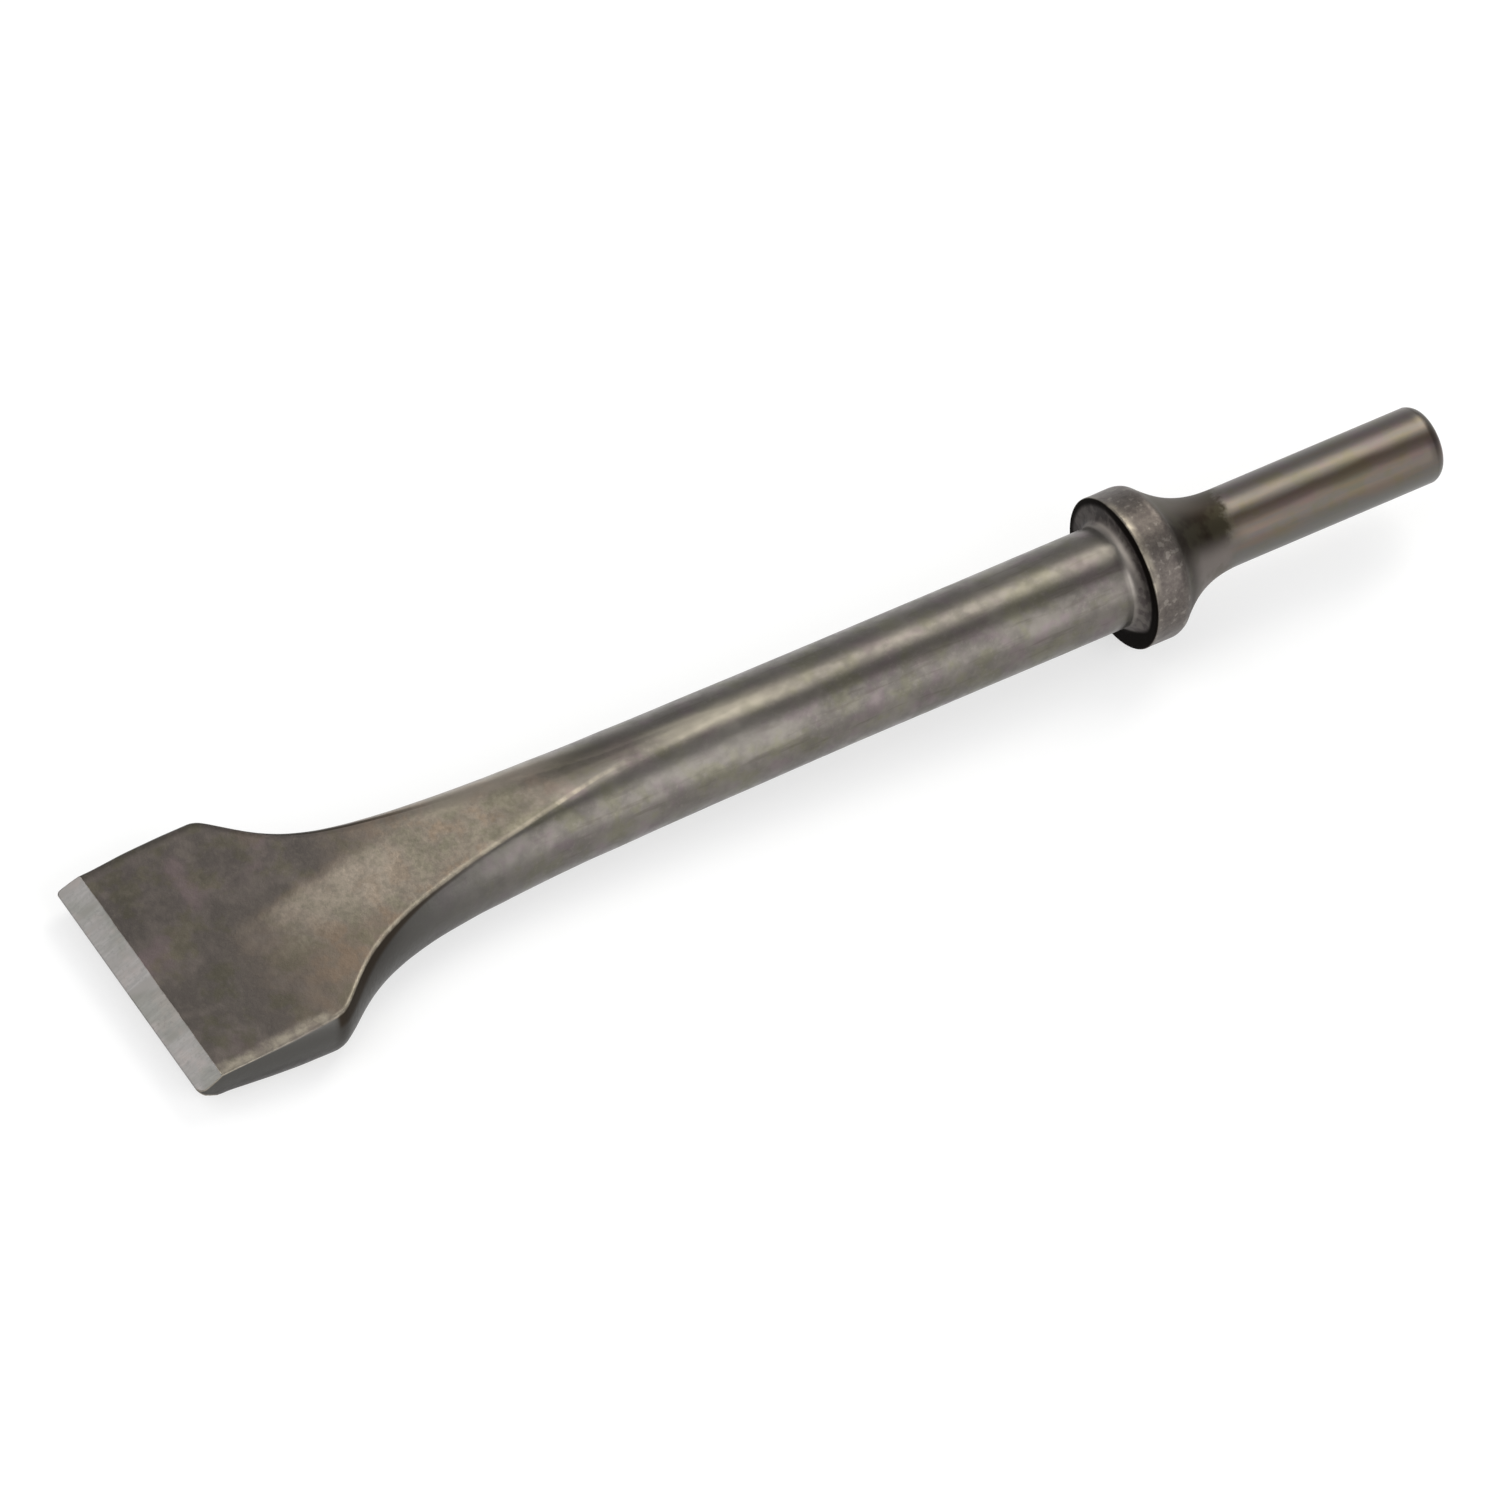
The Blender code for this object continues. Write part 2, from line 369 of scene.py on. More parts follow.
def chisel_grid():
    """Rings from the cutting edge to the striking face, as an array of (x, y, z, crest)."""
    rings = [bar_ring(x) for x in bar_stations()]
    turns = np.arctan2(rings[-1][:, 2], rings[-1][:, 1])
    for x, radius in turned_profile():
        ring = np.full((AROUND, 4), NO_CREST)
        ring[:, 0] = x
        ring[:, 1] = radius * np.cos(turns)
        ring[:, 2] = radius * np.sin(turns)
        rings.append(ring)
    return np.array(rings)


def smoothstep(low, high, value):
    """0 up to low, 1 from high on, smooth between."""
    u = np.clip((value - low) / (high - low), 0.0, 1.0)
    return u * u * (3 - 2 * u)


def grid_normals(points):
    """Outward normals of the grid of rings, from its differences along and around the bar."""
    along = np.gradient(points, axis=0)
    around = np.roll(points, -1, axis=1) - np.roll(points, 1, axis=1)
    normals = np.cross(around, along)
    length = np.linalg.norm(normals, axis=2, keepdims=True)
    return normals / np.maximum(length, 1e-9)


def dent_noise(points, size, seed):
    """Smooth noise from 0 to 1 with lumps of the given size in millimetres."""
    offset = Vector((seed, seed * 2.0, seed * 3.0))
    flat = points.reshape(-1, 3)
    values = [noise.noise(Vector(p) / size + offset) for p in flat.tolist()]
    return np.clip(0.5 + DENT_CONTRAST * np.array(values).reshape(points.shape[:2]), 0.0, 1.0)


def dents(points, layers):
    """Depth of all the layers of marks at each point."""
    return sum(depth * dent_noise(points, size, seed) for depth, size, seed in layers)


def forge_depth(points):
    """How far the hammer and the dies left each point below the mean surface."""
    x = points[..., 0]
    radial = np.hypot(points[..., 1], points[..., 2])
    past_neck = smoothstep(60.0, 100.0, x)
    blade = smoothstep(BEVEL_LENGTH, BEVEL_LENGTH + 2.0, x) * (1 - past_neck)
    body = past_neck * (1 - smoothstep(COLLAR_FACE - 4.0, COLLAR_FACE - 1.0, x))
    rim_start, rim_end = COLLAR_FACE + 0.1, COLLAR_FACE + COLLAR_RIM_WIDTH + 1.5
    rim = smoothstep(rim_start, rim_start + 0.4, x) * (1 - smoothstep(rim_end, rim_end + 5.0, x))
    rim = rim * smoothstep(7.5, 9.5, radial)
    depth = blade * dents(points, BLADE_DENTS) + rim * dents(points, RIM_DENTS)
    long_points = points * np.array(LONG_DENT_SCALE)
    depth += body * (dents(long_points, BODY_LONG_DENTS) + dents(points, BODY_DENTS))
    return depth - MEAN_DENT * (blade + body)


def grid_faces(count):
    """Faces between the given number of rings, over the edge's land and the striking face."""
    i = np.arange(AROUND)
    j = (i + 1) % AROUND
    base = np.arange(count - 1)[:, None] * AROUND
    quads = np.stack([base + i, base + AROUND + i, base + AROUND + j, base + j], -1)
    faces = [tuple(quad) for quad in quads.reshape(-1, 4).tolist()]

    # The cutting edge's land joins each point above the middle to the one below it.
    half = AROUND // 2
    faces.append((0, 1, AROUND - 1))
    faces += [(k, k + 1, AROUND - k - 1, AROUND - k) for k in range(1, half - 1)]
    faces.append((half - 1, half, half + 1))

    # The striking face closes on one point in its middle.
    last, centre = (count - 1) * AROUND, count * AROUND
    faces += [(last + a, centre, last + b) for a, b in zip(i.tolist(), j.tolist())]
    return faces


def make_chisel(material):
    """The whole tool as one closed mesh, with its places in the tool's frame kept on it."""
    grid = chisel_grid()
    points, crest = grid[..., :3], grid[..., 3]
    normals = grid_normals(points)
    points = points - normals * (SKIN_INSET + forge_depth(points))[..., None]
    points[0, :, 0] = 0.0
    points[-1, :, 0] = OVERALL
    vertices = np.concatenate([points.reshape(-1, 3), [[OVERALL, 0.0, 0.0]]])

    mesh = bpy.data.meshes.new("forged_chisel")
    mesh.from_pydata(vertices.tolist(), [], grid_faces(len(points)))
    mesh.materials.append(material)
    mesh.shade_smooth()
    tool = mesh.attributes.new("tool_mm", "FLOAT_VECTOR", "POINT")
    tool.data.foreach_set("vector", vertices.astype(np.float32).ravel())
    crest_line = mesh.attributes.new("crest_mm", "FLOAT", "POINT")
    crest_line.data.foreach_set("value", np.append(crest.ravel(), NO_CREST).astype(np.float32))
    mesh.transform(TOOL_TO_ROW)
    mesh.update()

    chisel = bpy.data.objects.new("forged_chisel", mesh)
    bpy.context.scene.collection.objects.link(chisel)
    return chisel


# ---------------------------------------------------------------- materials

# Across the lanes of painted highlight and shade that run along the bar, and the taper's greyer
# sides, as parts of Y and Z
ACROSS_Y = 0.86
ACROSS_Z = 0.51

# The dark end of the blade: how far it reaches on the near half, how much further on the
# far half, and how much its line wanders
DARK_END = 20.5
DARK_END_SLANT = 17.0
DARK_END_WANDER = 14.0

# The painted dark reflection on the taper: its end past the rim, the slant of that end and its
# fraying
PATCH_END = 12.0
PATCH_SLANT = 0.25
PATCH_FRAY = 3.2

# Heights of the fine relief, in millimetres
MOTTLE_HEIGHT = 0.050
SPECKLE_HEIGHT = 0.020
GRAIN_HEIGHT = 0.004
STREAK_HEIGHT = 0.003
WHEEL_HEIGHT = 0.006

# Colours are reflectances of the metal. Tints multiply the colour under them.
OLIVE_TINT = (0.97, 1.00, 0.86)
PURPLE_TINT = (1.02, 0.94, 1.04)

# Scale on the round body
BODY_SCALE = (0.153, 0.139, 0.124)
BODY_DULL = (0.119, 0.108, 0.098)
BODY_PALE = (0.185, 0.170, 0.151)
BODY_SPECKLE = (0.190, 0.174, 0.153)
BODY_STREAK = (0.088, 0.076, 0.064)
# A painted highlight in a lane along the body, widening its highlight, and a painted dark streak
# under it
BODY_PAINTED_HIGHLIGHT = (0.225, 0.207, 0.180)
BODY_PAINTED_DARK_STREAK = (0.100, 0.082, 0.062)

# The neck, where the flat runs out on the body: a painted highlight and painted shade on its top,
# and painted light that lifts the shade on its near side and far half
NECK_PAINTED_HIGHLIGHT = (0.232, 0.213, 0.176)
NECK_PAINTED_SHADE = (0.096, 0.084, 0.072)
NECK_NEAR_PAINTED_LIGHT = (0.250, 0.232, 0.208)
NECK_FAR_PAINTED_LIGHT = (0.330, 0.286, 0.236)

# The dark end of the blade, and its sides
DARK_SCALE = (0.116, 0.100, 0.093)
DARK_MOTTLE = (0.143, 0.123, 0.111)
DARK_NEAR_HALF = (0.205, 0.173, 0.152)
DARK_DEEP = (0.092, 0.081, 0.074)
DARK_PALE = (0.196, 0.168, 0.148)
DARK_NEAR_PATCH = (0.108, 0.096, 0.086)
DARK_FAR_RIM = (0.045, 0.040, 0.036)
DARK_SPECKLE = (0.150, 0.132, 0.113)
SIDE_SCALE = (0.079, 0.076, 0.071)
# Painted shade for the lower part of the blade's sides
LOW_SIDE_PAINTED_SHADE = (0.040, 0.036, 0.032)
# Painted shade for the hollow under the flare's crest
HOLLOW_PAINTED_SHADE = (0.030, 0.022, 0.015)

# The lighter zone at the root of the flare
LIGHT_SCALE = (0.242, 0.208, 0.172)
LIGHT_GRAIN = (0.190, 0.163, 0.135)
LIGHT_MOTTLE = (0.150, 0.133, 0.110)
LIGHT_SPINE = (0.350, 0.300, 0.248)
LIGHT_COOL_TINT = (0.90, 0.95, 0.88)
LIGHT_WARM_TINT = (1.08, 1.00, 0.93)
RUSTY_SCALE = (0.190, 0.153, 0.122)

# The collar: its rim, the fillet from the body and its face
RIM_SCALE = (0.127, 0.110, 0.099)
RIM_GRAIN = (0.099, 0.085, 0.077)
RIM_PIT = (0.076, 0.064, 0.060)
RIM_SPOT = (0.215, 0.193, 0.171)
# Painted highlight where the body's fillet starts
FILLET_START_HIGHLIGHT = (0.275, 0.252, 0.228)
FILLET_SCALE = (0.128, 0.114, 0.104)
FILLET_PIT = (0.076, 0.064, 0.062)
# Painted highlight on the fillet's top
FILLET_TOP_HIGHLIGHT = (0.330, 0.295, 0.262)
# Dark scale with painted shade, for the far side of the collar's face
FACE_SCALE_AND_SHADE = (0.056, 0.047, 0.044)
FACE_PIT = (0.024, 0.019, 0.017)
# Black painted shadow on the outer part of the collar's face
PAINTED_SHADOW_BLACK = (0.007, 0.005, 0.004)

# The taper and the shank
# A painted dark reflection on the taper, greyer towards its far and low sides
TAPER_PAINTED_REFLECTION = (0.021, 0.015, 0.010)
TAPER_FAR_SIDE = (0.090, 0.077, 0.066)
TAPER_LOW_SIDE = (0.165, 0.144, 0.132)
TAPER_OLIVE = (0.075, 0.070, 0.045)
SHANK_STEEL = (0.138, 0.109, 0.088)
SHANK_STREAK = (0.118, 0.105, 0.094)
# Lanes along the shank: painted shade on its far side, a greyer low side, a painted highlight and a
# painted dark streak under it
SHANK_FAR_SIDE_SHADE = (0.118, 0.112, 0.110)
SHANK_LOW_SIDE = (0.128, 0.129, 0.120)
SHANK_PAINTED_HIGHLIGHT = (0.205, 0.184, 0.160)
SHANK_PAINTED_DARK_STREAK = (0.082, 0.054, 0.038)
CHAMFER_SCALE = (0.030, 0.024, 0.020)

# Rubbed edges, painted brighter on the rim's upper edge as a highlight, and the ground bevels
# Rubbed bright steel, also the colour of the painted highlight on the rim's upper edge
WORN_EDGE_AND_HIGHLIGHT = (0.345, 0.307, 0.248)
BARE_STEEL = (0.281, 0.269, 0.258)
WHEEL_MARK = (0.250, 0.240, 0.231)
BEVEL_PIT = (0.180, 0.172, 0.166)
BEVEL_BAND = (0.245, 0.232, 0.219)
BEVEL_DULL_TINT = (0.86, 0.88, 0.85)
BEVEL_WARM_TINT = (1.10, 1.05, 1.04)


class Graph:
    """Short names for building a material's nodes."""

    def __init__(self, name):
        self.material = bpy.data.materials.new(name)
        self.material.use_nodes = True
        self.tree = self.material.node_tree
        self.shader = self.tree.nodes["Principled BSDF"]

    def node(self, kind, settings, inputs):
        """A new node with its settings made and its inputs fed."""
        node = self.tree.nodes.new(kind)
        for name, value in settings.items():
            setattr(node, name, value)
        for key, value in inputs.items():
            self.feed(node.inputs[key], value)
        return node

    def feed(self, socket, value):
        """Link a socket to another node's output, or set it to a plain value."""
        if isinstance(value, bpy.types.NodeSocket):
            self.tree.links.new(value, socket)
        elif isinstance(value, tuple) and len(value) == 3 and socket.type == "RGBA":
            socket.default_value = (*value, 1.0)
        else:
            socket.default_value = value

    def attribute(self, name, output):
        """One of the values kept on the mesh."""
        node = self.node("ShaderNodeAttribute", {"attribute_name": name}, {})
        return node.outputs[output]

    def math(self, operation, a, b=0.0):
        """One operation on one or two values."""
        node = self.node("ShaderNodeMath", {"operation": operation}, {0: a, 1: b})
        return node.outputs[0]

    def product(self, *values):
        """All the values multiplied together."""
        result = values[0]
        for value in values[1:]:
            result = self.math("MULTIPLY", result, value)
        return result

    def ramp(self, value, low, high):
        """0 where the value is at low, 1 where it is at high, smooth between."""
        node = self.node(
            "ShaderNodeMapRange",
            {"interpolation_type": "SMOOTHSTEP"},
            {"Value": value, "From Min": low, "From Max": high},
        )
        return node.outputs["Result"]

    def scaled(self, vector, factors):
        """A place with each coordinate scaled, which stretches what is drawn with it."""
        node = self.node("ShaderNodeVectorMath", {"operation": "MULTIPLY"}, {0: vector, 1: factors})
        return node.outputs[0]

    def noise(self, vector, size, detail=3.0, rough=0.55):
        """Cloudy noise, about 0.2 to 0.8, with lumps of the given size in millimetres."""
        node = self.node(
            "ShaderNodeTexNoise",
            {},
            {"Vector": vector, "Scale": 1.0 / size, "Detail": detail, "Roughness": rough},
        )
        return node.outputs["Fac"]

    def zone(self, value, start, full, fade, end):
        """1 from full to fade, and 0 before start and after end."""
        return self.product(self.ramp(value, start, full), self.ramp(value, end, fade))

    def ragged(self, value, cloudy, reach):
        """The value with its lines made ragged by a noise, over the given distance."""
        return self.math("ADD", value, self.product(self.math("SUBTRACT", cloudy, 0.5), reach))

    def paint(self, colour, over, *amounts, how="MIX"):
        """The colour with another laid over it, as far as the product of the amounts."""
        settings = {"data_type": "RGBA", "blend_type": how}
        inputs = {0: self.product(*amounts), 6: colour, 7: over}
        return self.node("ShaderNodeMix", settings, inputs).outputs[2]

    def tint(self, colour, tone, amount):
        """The colour multiplied by a tone, as far as the amount."""
        return self.paint(colour, tone, amount, how="MULTIPLY")

    def blend(self, factor, a, b):
        """A plain value from a, where the factor is 0, to b, where it is 1."""
        node = self.node("ShaderNodeMix", {"data_type": "FLOAT"}, {0: factor, 2: a, 3: b})
        return node.outputs[0]


def steel_fields(g):
    """Where a point is on the tool, in millimetres, and the noises that finishes share."""
    at = SimpleNamespace()
    at.place = g.attribute("tool_mm", "Vector")
    at.crest = g.attribute("crest_mm", "Fac")
    at.x, at.y, at.z = g.node("ShaderNodeSeparateXYZ", {}, {0: at.place}).outputs
    at.radial = g.math("SQRT", g.math("ADD", g.product(at.y, at.y), g.product(at.z, at.z)))
    at.across = g.math("ADD", g.product(at.y, ACROSS_Y), g.product(at.z, ACROSS_Z))

    at.blotch = g.noise(at.place, 9.0)
    at.cloud = g.noise(g.scaled(at.place, (1.0, 1.0, -1.0)), 4.5, 3.0, 0.6)
    at.mottle = g.noise(at.place, 2.0, 4.0, 0.6)
    at.spot = g.noise(at.place, 1.1, 2.0, 0.5)
    at.speckle = g.noise(at.place, 0.7, 3.0, 0.6)
    at.pitting = g.noise(at.place, 0.45, 3.0, 0.6)
    at.grain = g.noise(at.place, 0.32, 3.0, 0.6)
    at.streak = g.noise(g.scaled(at.place, (0.12, 1.0, 1.0)), 1.1)
    at.wheel = g.noise(g.scaled(at.place, (0.16, 1.0, 0.16)), 0.40, 4.0, 0.65)
    return at


def blade_zones(g, at):
    """Where the blade's and the flare's finishes begin and end, and the painted shade under the
    flare's crest.
    """
    at.near_edge = g.ramp(at.x, 62.0, 30.0)
    far_half = g.ramp(at.y, -0.5, 4.5)
    dark_end = g.math("ADD", g.product(far_half, DARK_END_SLANT), DARK_END)
    wandering_x = g.ragged(at.x, g.noise(at.place, 5.0, 4.0, 0.65), DARK_END_WANDER)
    at.past_end = g.math("SUBTRACT", wandering_x, dark_end)
    over_far_crest = g.product(g.ramp(at.y, 1.0, 3.0), g.ramp(at.x, 24.0, 36.0), 2.2)
    at.on_flat = g.ramp(g.math("ADD", at.crest, over_far_crest), -0.5, 0.1)

    # Painted shade in the hollow under the flare's crest, wide at the shoulder and narrow at the
    # neck
    hollow_width = g.blend(g.ramp(at.x, 22.0, 40.0), 2.4, 0.9)
    under_crest = g.ramp(g.math("DIVIDE", at.crest, hollow_width), -1.0, -0.6)
    along_flare = g.zone(at.x, SHOULDER_FROM_EDGE + 0.2, SHOULDER_FROM_EDGE + 0.9, 34.0, 52.0)
    at.hollow = g.product(along_flare, under_crest, g.ramp(at.crest, -0.05, -0.22))

    ragged_x = g.ragged(at.x, at.mottle, 0.25)
    on_bevel = g.ramp(ragged_x, BEVEL_LENGTH + 0.05, BEVEL_LENGTH - 0.05)
    at.ground = g.product(on_bevel, g.ramp(at.crest, -0.12, 0.02))


def collar_zones(g, at):
    """Where the finishes of the collar, the taper and the shank begin and end, with the painted
    shadow on the collar's face and the painted dark reflection on the taper.
    """
    face = COLLAR_FACE
    at.on_collar = g.product(g.ramp(at.x, face, face + 0.3), g.ramp(at.radial, 7.6, 9.3))
    at.fillet = g.zone(at.x, face - 1.4, face - 0.3, face + 0.1, face + 0.2)
    at.on_ring = g.ramp(at.x, face - 0.5, face - 0.15)
    at.far_side = g.ramp(g.math("ADD", at.y, g.product(at.mottle, 2.0)), 1.5, 5.5)
    # Painted shadow on the outer part of the collar's face, reaching further in at the bottom
    shadow_from = g.blend(g.ramp(at.z, -1.0, -6.0), g.blend(at.far_side, 8.75, 9.35), 7.4)
    past_shadow_edge = g.ramp(g.math("SUBTRACT", at.radial, shadow_from), -0.45, 0.25)
    at.sooty = g.product(at.on_ring, g.ramp(at.x, face + 0.22, face + 0.1), past_shadow_edge)

    # Where the painted dark reflection on the taper ends and the shank begins
    past_rim = face + COLLAR_RIM_WIDTH
    patch_end = g.math("ADD", g.product(at.y, PATCH_SLANT), past_rim + PATCH_END)
    frayed_x = g.ragged(at.x, g.noise(at.place, 1.6, 3.0, 0.6), PATCH_FRAY)
    past_patch = g.math("SUBTRACT", frayed_x, patch_end)
    at.in_taper = g.product(g.ramp(at.x, face + 4.4, face + 6.0), g.ramp(past_patch, 0.9, -1.3))
    at.on_shank = g.ramp(past_patch, -1.3, 0.9)


def body_colour(g, at):
    """Scale on the round body, with a painted highlight and painted shade in lanes along it and at
    the neck.
    """
    halves = g.math("ADD", g.product(at.blotch, 0.5), g.product(at.mottle, 0.5))
    body = g.paint(BODY_SCALE, BODY_DULL, g.ramp(halves, 0.38, 0.62), 0.9)
    body = g.paint(body, BODY_PALE, g.ramp(at.blotch, 0.46, 0.34), 0.6)
    body = g.tint(body, OLIVE_TINT, g.ramp(at.cloud, 0.50, 0.64))
    body = g.tint(body, PURPLE_TINT, g.ramp(at.cloud, 0.48, 0.36))
    body = g.paint(body, BODY_SPECKLE, g.ramp(at.speckle, 0.52, 0.72), 0.3)
    body = g.paint(body, BODY_STREAK, g.ramp(at.streak, 0.56, 0.70), 0.4)

    # Lanes along the body: a painted highlight, and a painted dark streak under it
    lane = g.ragged(at.across, at.blotch, 1.4)
    upper = g.ramp(at.z, 0.5, 2.0)
    on_round = g.product(g.ramp(at.x, 84.0, 100.0), upper)
    body = g.paint(body, BODY_PAINTED_HIGHLIGHT, on_round, g.zone(lane, 1.3, 2.1, 4.2, 5.6), 0.2)
    body = g.paint(body, BODY_PAINTED_DARK_STREAK, on_round, g.zone(lane, -0.4, 0.4, 1.0, 1.6), 0.15)

    # Painted highlight and painted shade on the neck's top
    on_top = g.ramp(at.z, 5.2, 6.2)
    rubbed = g.product(g.zone(at.x, 72.0, 80.0, 88.0, 100.0), g.zone(at.y, -2.2, -1.0, 0.8, 2.2))
    body = g.paint(body, NECK_PAINTED_HIGHLIGHT, on_top, rubbed, 0.8)
    neck_shade = g.product(g.zone(at.x, 54.0, 62.0, 70.0, 77.0), g.ramp(at.y, -1.2, 0.2))
    body = g.paint(body, NECK_PAINTED_SHADE, on_top, neck_shade, 0.7)
    # Painted light on the neck's near side, over a band that falls dark
    near = g.product(g.zone(at.x, 66.0, 73.0, 86.0, 98.0), g.zone(lane, -3.2, -1.2, 0.6, 1.8))
    return g.paint(body, NECK_NEAR_PAINTED_LIGHT, near, upper, 0.38)


def blade_colour(g, at):
    """Dark scale on the end that was heated to harden the edge, and on the blade's sides, with
    painted shade low on the sides and past the shoulder.
    """
    dark = g.paint(DARK_SCALE, DARK_MOTTLE, g.ramp(at.mottle, 0.38, 0.64))
    near_half = g.ramp(g.ragged(at.y, at.mottle, 8.0), 6.5, 0.5)
    dark = g.paint(dark, DARK_NEAR_HALF, near_half, 0.34)
    dark = g.paint(dark, DARK_DEEP, g.ramp(at.blotch, 0.50, 0.62), 0.65)
    dark = g.paint(dark, DARK_PALE, g.ramp(at.blotch, 0.48, 0.36), 0.5)
    near_patch = g.product(g.ramp(at.y, -1.0, -7.0), g.ramp(at.cloud, 0.46, 0.60))
    dark = g.paint(dark, DARK_NEAR_PATCH, near_patch, 0.55)
    far_rim = g.product(g.ramp(at.crest, 1.3, 0.3), g.ramp(at.y, 7.0, 12.0))
    dark = g.paint(dark, DARK_FAR_RIM, far_rim, 0.6)
    dark = g.tint(dark, OLIVE_TINT, g.ramp(at.cloud, 0.50, 0.62))
    dark = g.tint(dark, PURPLE_TINT, g.ramp(at.blotch, 0.50, 0.38))
    dark = g.paint(dark, DARK_SPECKLE, g.ramp(at.speckle, 0.50, 0.68), 0.30)

    # The blade's sides, with painted shade on their lower part and on a band past the shoulder
    side = g.paint(SIDE_SCALE, LOW_SIDE_PAINTED_SHADE, g.ramp(at.z, 0.4, -1.4))
    side = g.paint(side, LOW_SIDE_PAINTED_SHADE, g.zone(at.x, 18.6, 20.2, 24.0, 40.0), 0.7)
    return g.paint(side, dark, at.on_flat)


def light_colour(g, at):
    """Paler, speckled scale at the root of the flare, with a rubbed spine."""
    pale = g.paint(LIGHT_SCALE, LIGHT_GRAIN, g.ramp(at.speckle, 0.34, 0.68))
    pale = g.paint(pale, LIGHT_MOTTLE, g.ramp(at.mottle, 0.48, 0.66), 0.45)
    near_corner = g.product(g.ramp(at.y, -4.0, -8.0), g.ramp(at.x, 38.0, 30.0))
    pale = g.paint(pale, RUSTY_SCALE, near_corner, 0.75)
    pale = g.tint(pale, LIGHT_COOL_TINT, g.ramp(at.cloud, 0.48, 0.60))
    pale = g.tint(pale, LIGHT_WARM_TINT, g.ramp(at.cloud, 0.50, 0.38))
    spine = g.product(g.zone(at.y, -7.5, -1.5, 1.0, 4.0), g.ramp(at.x, 44.0, 33.0))
    fine_breaks = g.blend(g.ramp(at.speckle, 0.68, 0.34), 0.50, 0.85)
    wide_breaks = g.blend(g.ramp(at.mottle, 0.62, 0.42), 0.6, 1.0)
    return g.paint(pale, LIGHT_SPINE, spine, fine_breaks, wide_breaks)


def bar_colour(g, at):
    """The bar from the edge to the collar: body, dark end and the lighter zone between."""
    colour = g.paint(body_colour(g, at), blade_colour(g, at), at.near_edge)
    half_light = g.product(g.ramp(at.past_end, -9.0, 0.0), g.ramp(at.x, 60.0, 45.0), at.on_flat)
    thin_rust = g.blend(g.ramp(at.mottle, 0.38, 0.62), 0.7, 0.3)
    colour = g.paint(colour, RUSTY_SCALE, half_light, thin_rust)
    light = g.product(g.ramp(at.past_end, -5.0, 6.0), g.ramp(at.x, 68.0, 50.0), at.on_flat)
    colour = g.paint(colour, light_colour(g, at), light)
    # Painted light over the neck's far half, lifting its shade
    far_neck = g.product(g.zone(at.x, 40.0, 48.0, 58.0, 68.0), g.ramp(at.y, 1.6, 3.4))
    return g.paint(colour, NECK_FAR_PAINTED_LIGHT, far_neck, g.ramp(at.z, 2.0, 4.0), 0.6)


def rim_colour(g, at):
    """Pitted scale on the collar's rim."""
    rim = g.paint(RIM_SCALE, RIM_GRAIN, g.ramp(at.pitting, 0.30, 0.70))
    rim = g.paint(rim, RIM_PIT, g.ramp(at.spot, 0.52, 0.64), 0.55)
    return g.paint(rim, RIM_SPOT, g.ramp(at.spot, 0.42, 0.32), 0.7)


def taper_colour(g, at):
    """A painted dark reflection on the taper, greyer towards its sides."""
    taper = g.paint(TAPER_PAINTED_REFLECTION, TAPER_FAR_SIDE, g.ramp(at.across, 2.2, 5.4))
    clear_of_rim = g.blend(g.ramp(at.x, COLLAR_FACE + 6.2, COLLAR_FACE + 9.5), 0.25, 1.0)
    taper = g.paint(taper, TAPER_LOW_SIDE, g.ramp(at.across, 0.0, -3.4), clear_of_rim)
    return g.paint(taper, TAPER_OLIVE, g.ramp(at.cloud, 0.44, 0.60), 0.35)


def shank_colour(g, at):
    """The shank, with painted shade on its far side, a painted highlight and a painted dark streak
    in lanes along it, and dark on its chamfer.
    """
    lane = g.ragged(at.across, at.blotch, 1.2)
    shank = g.paint(SHANK_STEEL, SHANK_STREAK, g.ramp(at.streak, 0.35, 0.65))
    # Painted shade on the far side, then a painted highlight and a painted dark streak under it,
    # moving the shank's highlight
    shank = g.paint(shank, SHANK_FAR_SIDE_SHADE, g.ramp(lane, 2.4, 3.6), 0.45)
    shank = g.paint(shank, SHANK_PAINTED_HIGHLIGHT, g.zone(lane, 0.7, 1.5, 2.2, 3.2), 0.3)
    shank = g.paint(shank, SHANK_PAINTED_DARK_STREAK, g.zone(lane, -0.9, -0.1, 0.6, 1.2), 0.5)
    shank = g.tint(shank, OLIVE_TINT, g.ramp(at.cloud, 0.50, 0.62))
    shank = g.tint(shank, PURPLE_TINT, g.ramp(at.cloud, 0.48, 0.36))
    shank = g.paint(shank, SHANK_LOW_SIDE, g.ramp(lane, -2.6, -4.4), 0.7)
    chamfer = g.zone(at.x, OVERALL - 1.6, OVERALL - 1.2, OVERALL - 0.5, OVERALL - 0.1)
    upper_half = g.blend(g.ramp(at.across, -3.5, 0.0), 0.15, 0.55)
    return g.paint(shank, CHAMFER_SCALE, chamfer, upper_half)


